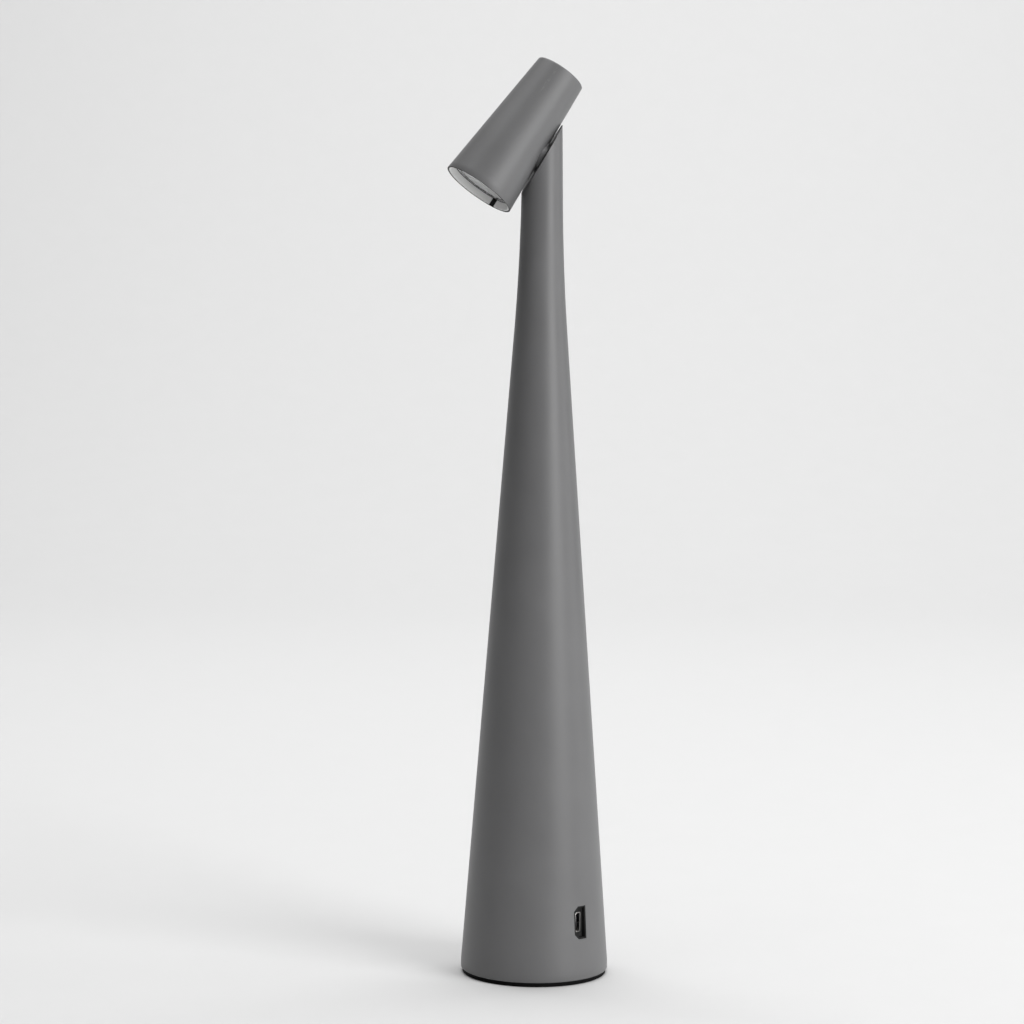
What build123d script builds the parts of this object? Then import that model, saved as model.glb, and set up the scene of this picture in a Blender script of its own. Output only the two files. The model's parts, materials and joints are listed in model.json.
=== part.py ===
from build123d import *

import os
from math import cos, radians, sin, tan

# Cordless table spot lamp: a slim weighted cone with a small cone-shaped head, which swivels on the
# column's slanted top. Millimetres, +Z up, origin at the centre of the foot's underside. The slanted
# face looks towards -X.

# ---- driving dimensions: column ----
foot_height = 1.6
foot_inset = 0.6
skirt_radius = 28.2
skirt_height = 3.2
slant_height = 312.0
slant_angle = 59.3
neck_radius = 7.66
neck_length = 41.9
shoulder_radius = 8.33
shoulder_round = 816.0
column_wall = 1.5
bottom_edge_round = 0.5

# ---- driving dimensions: head ----
head_radius = 12.4
head_half_angle = 4.5
front_reach = 24.4
rear_reach = 30.5
head_wall = 1.2
lip_wall = 0.6
rear_edge_round = 0.5
rim_edge_round = 0.2
head_gap = 0.45
rest_swivel = 6.1

# ---- driving dimensions: clearances ----
running_clearance = 0.05
fit_clearance = 0.05
loose_clearance = 0.3

# ---- driving dimensions: swivel ----
slant_plate_thickness = 1.6
washer_thickness = 0.15
collar_radius = 6.3
collar_edge_round = 0.1
shank_radius = 2.5
key_flat_depth = 0.4
stud_bore_gap = 0.5
stud_step = 0.5
stop_washer_width = 1.3
stop_washer_thickness = 0.5
stop_pin_radius = 0.6
stop_pin_gap = 0.2
stop_lug_width = 1.2
spring_thickness = 0.3
spring_cone = 0.2
nut_wall = 1.5
nut_thickness = 1.9
stud_tail = 0.5
pivot_block_length = 10.5
pivot_block_width = 13.0
pivot_block_height = 4.7
pivot_block_front = 5.0

# ---- driving dimensions: light engine ----
heat_sink_thickness = 2.0
fin_count = 7
fin_pitch = 2.5
fin_thickness = 1.0
fin_length = 19.0
led_board_radius = 7.0
led_board_thickness = 1.2
led_chip_radius = 3.4
led_screw_circle = 5.5
led_screw_radius = 0.6
led_screw_length = 2.4
led_screw_head_radius = 1.1
led_screw_head_height = 0.7
led_chip_thickness = 0.8
reflector_gap = 0.4
reflector_throat = 4.0
reflector_mouth = 11.2
reflector_wall = 0.8
reflector_bulge = 1.2
gasket_width = 0.5
gasket_thickness = 0.3
lens_thickness = 2.1
lens_face_radius = 10.5
lens_face_recess = 0.3
trim_ring_height = 2.7
trim_ring_wall = 0.55
trim_ring_gap = 2.3
trim_ring_gap_angle = 307.0
front_setback = 0.15

# ---- driving dimensions: base ----
base_plate_thickness = 2.0
lug_count = 3
lug_radius = 4.0
lug_inset = 3.3
lug_height = 10.0
spoke_angle = 10.0
base_screw_radius = 1.5
base_screw_length = 7.0
base_screw_head_radius = 2.9
weight_height = 10.9
weight_screw_circle = 8.0
weight_screw_count = 2

# ---- driving dimensions: battery and boards ----
battery_radius = 9.2
battery_length = 65.0
battery_button_radius = 3.0
battery_button_height = 0.8
battery_contact_rise = 1.0
battery_contact_sheet = 0.3
cradle_wall = 1.5
cradle_flange_thickness = 2.0
cradle_window_width = 13.0
cradle_window_margin = 7.0
screw_head_gap = 0.8
cradle_screw_radius = 1.25
cradle_screw_length = 7.0
small_head_radius = 2.2
small_head_height = 1.5
board_edge_margin = 0.4
board_thickness = 1.6
board_screw_radius = 1.0
board_screw_length = 5.0
board_screw_angle = 40.0
inductor_radius = 3.6
inductor_height = 4.5
lead_socket_size = 6.0
lead_socket_height = 5.0
chip_height = 1.2
touch_strip_thickness = 0.3
touch_strip_width = 4.0
touch_strip_angle = 130.0
touch_strip_rise = 6.0

# ---- driving dimensions: charging port ----
port_angle = -57.0
port_height = 23.3
port_width = 5.8
port_length = 12.5
port_corner = 1.9
port_rim = 0.6
port_recess = 1.6
port_flange_margin = 1.5
port_flange_thickness = 1.2
port_flush_inset = 0.1
usb_width = 7.5
usb_thickness = 2.7
usb_depth = 5.4
usb_sheet = 0.3
usb_corner = 0.7
usb_tongue_width = 4.0
usb_tongue_thickness = 0.6
usb_tongue_setback = 1.0
usb_back_block = 1.4
charge_board_height = 20.0
charge_board_gap = 1.8
board_rib_thickness = 1.0
board_rib_height = 3.0
board_rib_length = 3.0

# ---- driving dimensions: leads ----
lead_radius = 0.9
lead_hole_radius = 1.2
lead_bend = 2.4
lead_long_bend = 150.0
lead_corner_room = 1.35
lead_pass_gap = 3.0
lead_side_gap = 1.1
charge_lead_angle = -65.0
return_lead_angle = 165.0

# ---- what follows from them ----
up = Vector(0, 0, 1)
shank_flat = shank_radius - key_flat_depth
stud_tip_radius = shank_radius - stud_step
neck_stud_radius = shank_radius + stud_step
stud_bore_radius = lead_radius + stud_bore_gap
stop_washer_radius = shank_radius + stop_washer_width
stop_circle = stop_washer_radius + stop_pin_gap + stop_pin_radius
stop_lug_reach = stop_circle + stop_pin_radius
nut_corner_radius = stud_tip_radius + nut_wall
cradle_bore = battery_radius + loose_clearance
cradle_outer = cradle_bore + cradle_wall
cradle_screw_circle = cradle_outer + screw_head_gap + small_head_radius
cradle_flange_radius = cradle_screw_circle + small_head_radius + screw_head_gap
board_screw_circle = cradle_outer + board_screw_radius + board_edge_margin
control_board_radius = board_screw_circle + small_head_radius + board_edge_margin
charge_board_inner = cradle_outer + charge_board_gap
lead_bypass_radius = cradle_outer + lead_side_gap + lead_radius
skirt_top = foot_height + skirt_height
shoulder_height = slant_height - neck_length
cone_slope = (skirt_radius - shoulder_radius) / (shoulder_height - skirt_top)
neck_slope = (shoulder_radius - neck_radius) / neck_length
blank_top = slant_height + 2.5 * neck_radius * tan(radians(slant_angle))


def column_radius(height):
    """Outer radius of the straight cone at a height above the floor."""
    return skirt_radius - (height - skirt_top) * cone_slope


def column_form(inset, bottom):
    """Solid of the column's outer form before its slanted cut, drawn in all round by inset."""
    blank_radius = neck_radius - (blank_top - slant_height) * neck_slope
    with BuildPart() as form:
        with BuildSketch(Plane.XZ) as profile:
            with BuildLine():
                Polyline(
                    (0, bottom),
                    (skirt_radius - inset, bottom),
                    (skirt_radius - inset, skirt_top),
                    (shoulder_radius - inset, shoulder_height),
                    (blank_radius - inset, blank_top),
                    (0, blank_top),
                    close=True,
                )
            make_face()
            shoulder = profile.vertices().sort_by_distance((shoulder_radius, shoulder_height))[0]
            fillet(shoulder, shoulder_round + inset)
        revolve(axis=Axis.Z)
    return form.part


# swivel frame: its normal is square to the slanted face, and its x direction is steepest downhill
slant = radians(slant_angle)
swivel_normal = Vector(-sin(slant), 0, cos(slant))
downhill = Vector(-cos(slant), 0, -sin(slant))
slant_centre = Vector(0, 0, slant_height)
slant_face = Plane(origin=slant_centre, x_dir=downhill, z_dir=swivel_normal)

# head frame: its x direction runs down the head's underside, turned by the swivel at rest
turn = radians(rest_swivel)
head_run = downhill * cos(turn) + swivel_normal.cross(downhill) * sin(turn)
swivel_face = Plane(origin=slant_centre, x_dir=head_run, z_dir=swivel_normal)

# the head's axis leans away from its underside by the half angle, and points to the light
lean = radians(head_half_angle)
head_axis_dir = head_run * cos(lean) + swivel_normal * sin(lean)
to_neck = head_run * sin(lean) - swivel_normal * cos(lean)
head_centre = slant_centre + swivel_normal * head_gap - to_neck * head_radius
head_across = Plane(origin=head_centre, x_dir=to_neck, z_dir=head_axis_dir)
head_section = Plane(origin=head_centre, x_dir=to_neck, z_dir=to_neck.cross(head_axis_dir))
head_axis = Axis(head_centre, head_axis_dir)
head_slope = tan(lean)


def head_radius_at(reach):
    """Outer radius of the head's cone at a distance in front of the swivel."""
    return head_radius + reach * head_slope


def head_form(inset, rear, front):
    """Solid of the head's cone between two places on its axis, drawn in all round by inset."""
    with BuildPart() as form:
        with BuildSketch(head_section):
            with BuildLine():
                Polyline(
                    (0, rear),
                    (head_radius_at(rear) - inset, rear),
                    (head_radius_at(front) - inset, front),
                    (0, front),
                    close=True,
                )
            make_face()
        revolve(axis=head_axis)
    return form.part


def polar_plane(circle, angle, height, normal):
    """Plane at a point on a circle about the column's axis."""
    place = (circle * cos(radians(angle)), circle * sin(radians(angle)), height)
    return Plane(origin=place, z_dir=normal)


def pan_screws(seats, shank, length, head, head_height):
    """Pan head screws: heads stand on their seats, and shanks run against the seats' normal."""
    tops = [seat.offset(head_height) for seat in seats]
    with BuildPart() as group:
        with BuildSketch(*seats):
            Circle(head)
        extrude(amount=head_height)
        rims = group.edges().group_by(Axis(seats[0].origin, seats[0].z_dir))[-1]
        fillet(rims, head_height * 0.4)
        with BuildSketch(*seats):
            Circle(shank)
        extrude(amount=-length)
        with BuildSketch(*tops):
            RegularPolygon(head * 0.5, 6)
        extrude(amount=-head_height * 0.6, mode=Mode.SUBTRACT)
    return group.part


def lead(points, bends):
    """Round insulated lead along straight runs joined by tangent arcs."""
    with BuildPart() as strand:
        with BuildLine() as route:
            FilletPolyline(*points, radius=bends)
        with BuildSketch(Plane(origin=route.line @ 0, z_dir=route.line % 0)):
            Circle(lead_radius)
        sweep()
    return strand.part


os.makedirs("parts", exist_ok=True)

# ---- foot, base plate and their screws ----
inner_skirt = skirt_radius - column_wall
plate_top = foot_height + base_plate_thickness
lug_circle = inner_skirt - lug_inset
spokes = [spoke_angle + 360 / lug_count * turn_count for turn_count in range(lug_count)]
lug_screw_seats = [polar_plane(lug_circle, angle, foot_height, -up) for angle in spokes]
weight_spokes = [spoke_angle + 90 + 360 / weight_screw_count * k for k in range(weight_screw_count)]
weight_screw_seats = [polar_plane(weight_screw_circle, a, foot_height, -up) for a in weight_spokes]
base_screw_seats = lug_screw_seats + weight_screw_seats
base_screw_head_height = base_screw_head_radius - base_screw_radius

with BuildPart() as foot_pad:
    with BuildSketch():
        Circle(skirt_radius - foot_inset)
    extrude(amount=foot_height)
    fillet(foot_pad.edges().group_by(Axis.Z)[0], foot_height * 0.25)
foot_pad.part.label = "foot_pad"
export_step(foot_pad.part, "parts/foot_pad.step")

with BuildPart() as base_plate:
    with BuildSketch(Plane.XY.offset(foot_height)):
        Circle(inner_skirt - fit_clearance)
    extrude(amount=base_plate_thickness)
    with Locations(*base_screw_seats):
        CounterSinkHole(
            base_screw_radius + fit_clearance,
            base_screw_head_radius + fit_clearance,
            counter_sink_angle=90,
        )
base_plate.part.label = "base_plate"
export_step(base_plate.part, "parts/base_plate.step")

with BuildPart() as base_screws:
    with Locations(*base_screw_seats):
        Cone(
            base_screw_radius,
            base_screw_head_radius,
            base_screw_head_height,
            align=(Align.CENTER, Align.CENTER, Align.MAX),
        )
        Cylinder(
            base_screw_radius,
            base_screw_length + base_plate_thickness,
            align=(Align.CENTER, Align.CENTER, Align.MAX),
        )
    with BuildSketch(*base_screw_seats):
        RegularPolygon(base_screw_radius * 0.7, 6)
    extrude(amount=-base_screw_head_height, mode=Mode.SUBTRACT)
base_screws.part.label = "base_screws"
export_step(base_screws.part, "parts/base_screws.step")

# ---- column shell: thin wall, three screw lugs at the foot, slanted top, charging port ----
port_face_radius = column_radius(port_height)
out = Vector(cos(radians(port_angle)), sin(radians(port_angle)), 0)
port_right = Vector(-sin(radians(port_angle)), cos(radians(port_angle)), 0)
port_centre = up * port_height
port_plane = Plane(origin=port_centre, x_dir=port_right, z_dir=out)


def port_outline(grow):
    """Sketch of the port: a tall slot with its two left corners cut, larger all round by grow."""
    half_width = port_width / 2 + grow
    half_length = port_length / 2 + grow
    cut = port_corner + grow * tan(radians(22.5))
    with BuildSketch() as outline:
        with BuildLine():
            Polyline(
                (half_width, -half_length),
                (half_width, half_length),
                (-half_width + cut, half_length),
                (-half_width, half_length - cut),
                (-half_width, -half_length + cut),
                (-half_width + cut, -half_length),
                close=True,
            )
        make_face()
    return outline.sketch


with BuildPart() as column_shell:
    add(column_form(0, foot_height))
    fillet(column_shell.edges().group_by(Axis.Z)[0], bottom_edge_round)
    add(column_form(column_wall, foot_height), mode=Mode.SUBTRACT)
    with BuildSketch(Plane.XY.offset(plate_top)):
        with PolarLocations(lug_circle, lug_count, start_angle=spoke_angle):
            Circle(lug_radius)
    extrude(amount=lug_height)
    with BuildSketch(*[polar_plane(lug_circle, a, plate_top, up) for a in spokes]):
        Circle(base_screw_radius + fit_clearance)
    extrude(amount=base_screw_length + base_screw_radius, mode=Mode.SUBTRACT)
    split(bisect_by=slant_face, keep=Keep.BOTTOM)
    with BuildSketch(port_plane):
        add(port_outline(0))
    extrude(amount=skirt_radius + column_wall, mode=Mode.SUBTRACT)
column_shell.part.label = "column_shell"
export_step(column_shell.part, "parts/column_shell.step")

# ---- weight in the foot ----
weight_top = plate_top + weight_height
weight_radius = column_radius(weight_top) - column_wall - loose_clearance
cradle_seats = [polar_plane(cradle_screw_circle, a, weight_top, up) for a in spokes]
lead_angles = [charge_lead_angle, return_lead_angle]
cradle_thread = cradle_screw_length - cradle_flange_thickness

with BuildPart() as base_weight:
    with BuildSketch(Plane.XY.offset(plate_top)):
        Circle(weight_radius)
        with PolarLocations(lug_circle, lug_count, start_angle=spoke_angle):
            Circle(lug_radius + loose_clearance, mode=Mode.SUBTRACT)
    extrude(amount=weight_height)
    with BuildSketch(*[polar_plane(weight_screw_circle, a, plate_top, up) for a in weight_spokes]):
        Circle(base_screw_radius + fit_clearance)
    extrude(amount=base_screw_length + base_screw_radius, mode=Mode.SUBTRACT)
    with BuildSketch(*cradle_seats):
        Circle(cradle_screw_radius + fit_clearance)
    extrude(amount=-(cradle_thread + cradle_screw_radius), mode=Mode.SUBTRACT)
base_weight.part.label = "base_weight"
export_step(base_weight.part, "parts/base_weight.step")

# ---- battery, its pad and its cradle ----
cradle_floor = weight_top + cradle_flange_thickness
pad_top = cradle_floor + battery_contact_rise
battery_top = pad_top + battery_length
cradle_top = battery_top + loose_clearance + cradle_wall
collar_flange_radius = board_screw_circle + small_head_radius
window_height = battery_length - 2 * cradle_window_margin
window_plane = Plane(origin=up * (pad_top + battery_length / 2), x_dir=port_right, z_dir=-out)
board_seat_angles = [board_screw_angle, board_screw_angle + 180]
board_screw_seats = [
    polar_plane(board_screw_circle, a, cradle_top + board_thickness, up) for a in board_seat_angles
]
charge_board_middle = (usb_thickness + board_thickness) / 2
rib_offset = (board_thickness + board_rib_thickness) / 2 + fit_clearance
rib_middle = charge_board_inner + board_rib_length / 2
rib_plane = Plane(origin=up * cradle_floor, x_dir=out, z_dir=up)

with BuildPart() as battery_cradle:
    with BuildSketch(Plane.XY.offset(weight_top)):
        Circle(cradle_flange_radius)
    extrude(amount=cradle_flange_thickness)
    with BuildSketch(Plane.XY.offset(cradle_floor)):
        Circle(cradle_outer)
        Circle(cradle_bore, mode=Mode.SUBTRACT)
    extrude(amount=cradle_top - cradle_floor)
    with BuildSketch(Plane.XY.offset(cradle_top - cradle_wall)):
        Circle(collar_flange_radius)
        Circle(cradle_bore, mode=Mode.SUBTRACT)
    extrude(amount=cradle_wall)
    with BuildSketch(window_plane):
        RectangleRounded(cradle_window_width, window_height, cradle_wall)
    extrude(amount=cradle_outer + cradle_wall, mode=Mode.SUBTRACT)
    with BuildSketch(rib_plane):
        for side in (1, -1):
            with Locations((rib_middle, charge_board_middle + side * rib_offset)):
                Rectangle(board_rib_length, board_rib_thickness)
    extrude(amount=board_rib_height)
    with BuildSketch(*cradle_seats):
        Circle(cradle_screw_radius + fit_clearance)
    extrude(amount=cradle_flange_thickness, mode=Mode.SUBTRACT)
    with BuildSketch(*[polar_plane(lead_bypass_radius, a, cradle_top, up) for a in lead_angles]):
        Circle(lead_hole_radius)
    extrude(amount=-cradle_wall, mode=Mode.SUBTRACT)
    with BuildSketch(*[seat.offset(-board_thickness) for seat in board_screw_seats]):
        Circle(board_screw_radius + fit_clearance)
    extrude(amount=-cradle_wall, mode=Mode.SUBTRACT)
battery_cradle.part.label = "battery_cradle"
export_step(battery_cradle.part, "parts/battery_cradle.step")

with BuildPart() as cradle_screws:
    add(pan_screws(
        [seat.offset(cradle_flange_thickness) for seat in cradle_seats],
        cradle_screw_radius,
        cradle_screw_length,
        small_head_radius,
        small_head_height,
    ))
cradle_screws.part.label = "cradle_screws"
export_step(cradle_screws.part, "parts/cradle_screws.step")



def dished_contact(base, rise, foot_radius, tip_radius):
    """Dished spring contact of thin sheet, standing on a height and reaching up by rise."""
    sheet = battery_contact_sheet
    with BuildPart() as dish:
        with BuildSketch(Plane.XZ):
            with BuildLine():
                Polyline(
                    (0, base + rise - sheet),
                    (0, base + rise),
                    (tip_radius, base + rise),
                    (foot_radius, base + sheet),
                    (foot_radius, base),
                    (foot_radius - 2 * sheet, base),
                    (tip_radius - sheet, base + rise - sheet),
                    close=True,
                )
            make_face()
        revolve(axis=Axis.Z)
    return dish.part


with BuildPart() as lower_contact:
    foot_ring = battery_radius - cradle_wall
    add(dished_contact(cradle_floor, battery_contact_rise, foot_ring, battery_button_radius))
lower_contact.part.label = "lower_contact"
export_step(lower_contact.part, "parts/lower_contact.step")

with BuildPart() as upper_contact:
    contact_rise = cradle_top - battery_top
    add(dished_contact(battery_top, contact_rise, battery_button_radius, battery_button_radius / 2))
upper_contact.part.label = "upper_contact"
export_step(upper_contact.part, "parts/upper_contact.step")

with BuildPart() as battery_cell:
    with BuildSketch(Plane.XY.offset(pad_top)):
        Circle(battery_radius)
    extrude(amount=battery_length - battery_button_height)
    fillet(battery_cell.edges().filter_by(GeomType.CIRCLE), battery_button_height)
    with BuildSketch(Plane.XY.offset(battery_top - battery_button_height)):
        Circle(battery_button_radius)
    extrude(amount=battery_button_height)
battery_cell.part.label = "battery_cell"
export_step(battery_cell.part, "parts/battery_cell.step")

# ---- control board on the cradle ----
board_top = cradle_top + board_thickness
driver_places = [
    (-8.5, -2.5, 5.0, 4.0),
    (-2.0, -9.0, 4.0, 3.0),
    (4.5, -8.5, 3.0, 3.0),
    (8.6, 1.2, 3.2, 2.5),
]
inductor_place = (0.0, 8.4)

with BuildPart() as control_board:
    with BuildSketch(Plane.XY.offset(cradle_top)):
        Circle(control_board_radius)
        with PolarLocations(board_screw_circle, 2, start_angle=board_screw_angle):
            Circle(board_screw_radius + fit_clearance, mode=Mode.SUBTRACT)
    extrude(amount=board_thickness)
control_board.part.label = "control_board"
export_step(control_board.part, "parts/control_board.step")

with BuildPart() as board_screws:
    add(pan_screws(
        board_screw_seats,
        board_screw_radius,
        board_screw_length,
        small_head_radius * 0.8,
        small_head_height * 0.8,
    ))
board_screws.part.label = "board_screws"
export_step(board_screws.part, "parts/board_screws.step")

with BuildPart() as driver_chips:
    for chip_x, chip_y, chip_length, chip_width in driver_places:
        with BuildSketch(Plane.XY.offset(board_top)):
            with Locations((chip_x, chip_y)):
                Rectangle(chip_length, chip_width)
        extrude(amount=chip_height)
driver_chips.part.label = "driver_chips"
export_step(driver_chips.part, "parts/driver_chips.step")

with BuildPart() as inductor:
    with BuildSketch(Plane.XY.offset(board_top)):
        with Locations(inductor_place):
            Circle(inductor_radius)
    extrude(amount=inductor_height)
    chamfer(inductor.edges().group_by(Axis.Z)[-1], inductor_radius * 0.15)
inductor.part.label = "inductor"
export_step(inductor.part, "parts/inductor.step")

with BuildPart() as lead_socket:
    with BuildSketch(Plane.XY.offset(board_top)):
        Rectangle(lead_socket_size, lead_socket_size * 0.75)
    extrude(amount=lead_socket_height)
    fillet(lead_socket.edges().filter_by(Axis.Z), lead_socket_size * 0.08)
lead_socket.part.label = "lead_socket"
export_step(lead_socket.part, "parts/lead_socket.step")

# spring strip that joins the board to the metal shell, so that a touch on the lamp is felt
touch_dir = Vector(cos(radians(touch_strip_angle)), sin(radians(touch_strip_angle)), 0)
touch_plane = Plane(origin=(0, 0, 0), x_dir=touch_dir, z_dir=touch_dir.cross(up))
touch_top = board_top + touch_strip_rise
touch_wall = column_radius(touch_top) - column_wall
touch_low = board_top + touch_strip_thickness / 2

with BuildPart() as touch_strip:
    with BuildSketch(touch_plane):
        with BuildLine():
            Polyline(
                (control_board_radius * 0.7, touch_low),
                (control_board_radius * 0.9, touch_low),
                (touch_wall - touch_strip_thickness, touch_top),
                (touch_wall - touch_strip_rise / 2, touch_top + touch_strip_rise / 2),
            )
        trace(line_width=touch_strip_thickness)
    extrude(amount=touch_strip_width / 2, both=True)
    add(column_form(column_wall, foot_height), mode=Mode.INTERSECT)
touch_strip.part.label = "touch_strip"
export_step(touch_strip.part, "parts/touch_strip.step")

# ---- charging port: black insert, metal socket and its tongue, upright board ----
recess_floor = port_face_radius - port_recess
usb_back = recess_floor - usb_depth
flange_back = port_face_radius - column_wall - port_flange_thickness

with BuildPart() as insert_flange:
    with BuildSketch(port_plane.offset(flange_back)):
        add(port_outline(port_flange_margin))
    extrude(amount=port_face_radius)
    add(column_form(column_wall + fit_clearance, foot_height), mode=Mode.INTERSECT)

with BuildPart() as port_insert:
    with BuildSketch(port_plane.offset(flange_back)):
        add(port_outline(-fit_clearance))
    extrude(amount=port_face_radius)
    add(column_form(port_flush_inset, foot_height), mode=Mode.INTERSECT)
    add(insert_flange.part)
    with BuildSketch(port_plane.offset(recess_floor)):
        add(port_outline(-port_rim))
    extrude(amount=port_face_radius, mode=Mode.SUBTRACT)
    with BuildSketch(port_plane.offset(flange_back)):
        Rectangle(usb_thickness + 2 * fit_clearance, usb_width + 2 * fit_clearance)
    extrude(amount=port_face_radius, mode=Mode.SUBTRACT)
port_insert.part.label = "port_insert"
export_step(port_insert.part, "parts/port_insert.step")


def usb_outline(inset):
    """Sketch of the charging socket: a flat slot with two corners cut, smaller all round by inset."""
    half_width = usb_width / 2 - inset
    half_thickness = usb_thickness / 2 - inset
    with BuildSketch() as outline:
        with BuildLine():
            Polyline(
                (half_thickness, -half_width),
                (half_thickness, half_width),
                (-half_thickness + usb_corner, half_width),
                (-half_thickness, half_width - usb_corner),
                (-half_thickness, -half_width + usb_corner),
                (-half_thickness + usb_corner, -half_width),
                close=True,
            )
        make_face()
    return outline.sketch


with BuildPart() as usb_socket:
    with BuildSketch(port_plane.offset(usb_back)):
        add(usb_outline(0))
    extrude(amount=usb_depth)
    with BuildSketch(port_plane.offset(usb_back)):
        add(usb_outline(usb_sheet))
    extrude(amount=usb_depth, mode=Mode.SUBTRACT)
usb_socket.part.label = "usb_socket"
export_step(usb_socket.part, "parts/usb_socket.step")

with BuildPart() as usb_tongue:
    with BuildSketch(port_plane.offset(usb_back)):
        add(usb_outline(usb_sheet + fit_clearance))
    extrude(amount=usb_back_block)
    with BuildSketch(port_plane.offset(usb_back)):
        Rectangle(usb_tongue_thickness, usb_tongue_width)
    extrude(amount=usb_depth - usb_tongue_setback)
usb_tongue.part.label = "usb_tongue"
export_step(usb_tongue.part, "parts/usb_tongue.step")

charge_board_outer = flange_back - loose_clearance
charge_board_plane = Plane(origin=up * cradle_floor, x_dir=out, z_dir=-port_right)

with BuildPart() as charge_board:
    with BuildSketch(charge_board_plane.offset(-usb_thickness / 2)):
        with Locations(((charge_board_inner + charge_board_outer) / 2, charge_board_height / 2)):
            Rectangle(charge_board_outer - charge_board_inner, charge_board_height)
    extrude(amount=-board_thickness)
charge_board.part.label = "charge_board"
export_step(charge_board.part, "parts/charge_board.step")

# ---- leads inside the column ----
socket_top = board_top + lead_socket_height
tail_depth = slant_plate_thickness + running_clearance + stop_washer_thickness + spring_thickness
tail_depth += spring_cone + nut_thickness + stud_tail
stud_tip = slant_centre - swivel_normal * tail_depth
lead_end_height = stud_tip.Z - stud_tip_radius - lead_pass_gap
lead_side = stud_tip.X

with BuildPart() as column_lead:
    add(lead(
        [
            (0, 0, socket_top),
            (0, 0, lead_end_height - neck_length * 1.2),
            (lead_side, 0, lead_end_height - neck_length * 0.4),
            (lead_side, 0, lead_end_height),
        ],
        lead_long_bend,
    ))
column_lead.part.label = "column_lead"
export_step(column_lead.part, "parts/column_lead.step")

charge_out = Vector(cos(radians(charge_lead_angle)), sin(radians(charge_lead_angle)), 0)
charge_board_top = cradle_floor + charge_board_height
charge_from = out * (charge_board_inner + lead_radius) + port_right * charge_board_middle
charge_to = charge_out * lead_bypass_radius
lead_step = board_rib_height * 3

with BuildPart() as charge_lead:
    add(lead(
        [
            charge_from + up * charge_board_top,
            charge_from + up * (charge_board_top + lead_step),
            charge_to + up * (charge_board_top + 2 * lead_step),
            charge_to + up * cradle_top,
        ],
        lead_step,
    ))
charge_lead.part.label = "charge_lead"
export_step(charge_lead.part, "parts/charge_lead.step")

with BuildPart() as return_lead:
    with BuildSketch(polar_plane(lead_bypass_radius, return_lead_angle, cradle_floor, up)):
        Circle(lead_radius)
    extrude(amount=cradle_top - cradle_floor)
return_lead.part.label = "return_lead"
export_step(return_lead.part, "parts/return_lead.step")

# ---- swivel: slanted plate, its stop pin and bearing washer in the column ----
stop_pin_place = (-stop_circle, 0)
stop_depth = slant_plate_thickness + running_clearance + stop_washer_thickness

with BuildPart() as slant_plate:
    add(column_form(column_wall, foot_height))
    split(bisect_by=slant_face, keep=Keep.BOTTOM)
    split(bisect_by=slant_face.offset(-slant_plate_thickness), keep=Keep.TOP)
    with BuildSketch(slant_face):
        Circle(shank_radius + running_clearance)
        with Locations(stop_pin_place):
            Circle(stop_pin_radius)
    extrude(amount=-2 * slant_plate_thickness, mode=Mode.SUBTRACT)
slant_plate.part.label = "slant_plate"
export_step(slant_plate.part, "parts/slant_plate.step")

with BuildPart() as stop_pin:
    with BuildSketch(slant_face.offset(-washer_thickness)):
        with Locations(stop_pin_place):
            Circle(stop_pin_radius)
    extrude(amount=-(stop_depth - washer_thickness))
stop_pin.part.label = "stop_pin"
export_step(stop_pin.part, "parts/stop_pin.step")

with BuildPart() as bearing_washer:
    with BuildSketch(slant_face):
        Circle(collar_radius - loose_clearance)
        Circle(shank_radius + loose_clearance, mode=Mode.SUBTRACT)
    extrude(amount=washer_thickness)
bearing_washer.part.label = "bearing_washer"
export_step(bearing_washer.part, "parts/bearing_washer.step")

# ---- head shell: a closed cone cup, with a thin lip at its open front ----
front = front_reach
rear = -rear_reach
lip_depth = trim_ring_height + front_setback + lens_thickness + gasket_thickness
seat = front - lip_depth
inner_rear = rear + head_wall
stud_reach = head_gap + head_wall + pivot_block_height
swivel_axis = Axis(slant_centre, swivel_normal)

with BuildPart() as head_shell:
    add(head_form(0, rear, front))
    rear_rim = head_shell.edges().group_by(head_axis)[0]
    fillet(rear_rim, rear_edge_round)
    front_rim = head_shell.edges().group_by(head_axis)[-1]
    fillet(front_rim, rim_edge_round)
    add(head_form(head_wall, inner_rear, seat), mode=Mode.SUBTRACT)
    add(head_form(lip_wall, seat, front), mode=Mode.SUBTRACT)
    with BuildSketch(swivel_face):
        Circle(neck_stud_radius + fit_clearance)
    extrude(amount=stud_reach, mode=Mode.SUBTRACT)
head_shell.part.label = "head_shell"
export_step(head_shell.part, "parts/head_shell.step")

# ---- pivot block: saddle nut inside the head ----
block_bottom = head_radius - head_wall
block_face = block_bottom - pivot_block_height
lead_corner = block_face - lead_corner_room
screw_side = neck_stud_radius + board_screw_radius + fit_clearance
screw_reach = (block_face + block_bottom) / 2 - 0.5
heat_screw_places = [(screw_reach, screw_side), (screw_reach, -screw_side)]
sink_front = pivot_block_front + heat_sink_thickness
led_screw_places = [(0, led_screw_circle), (0, -led_screw_circle)]
heat_screw_seats = [
    Plane(head_across.offset(sink_front).from_local_coords(Vector(x, y, 0)), z_dir=head_axis_dir)
    for x, y in heat_screw_places
]

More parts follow.
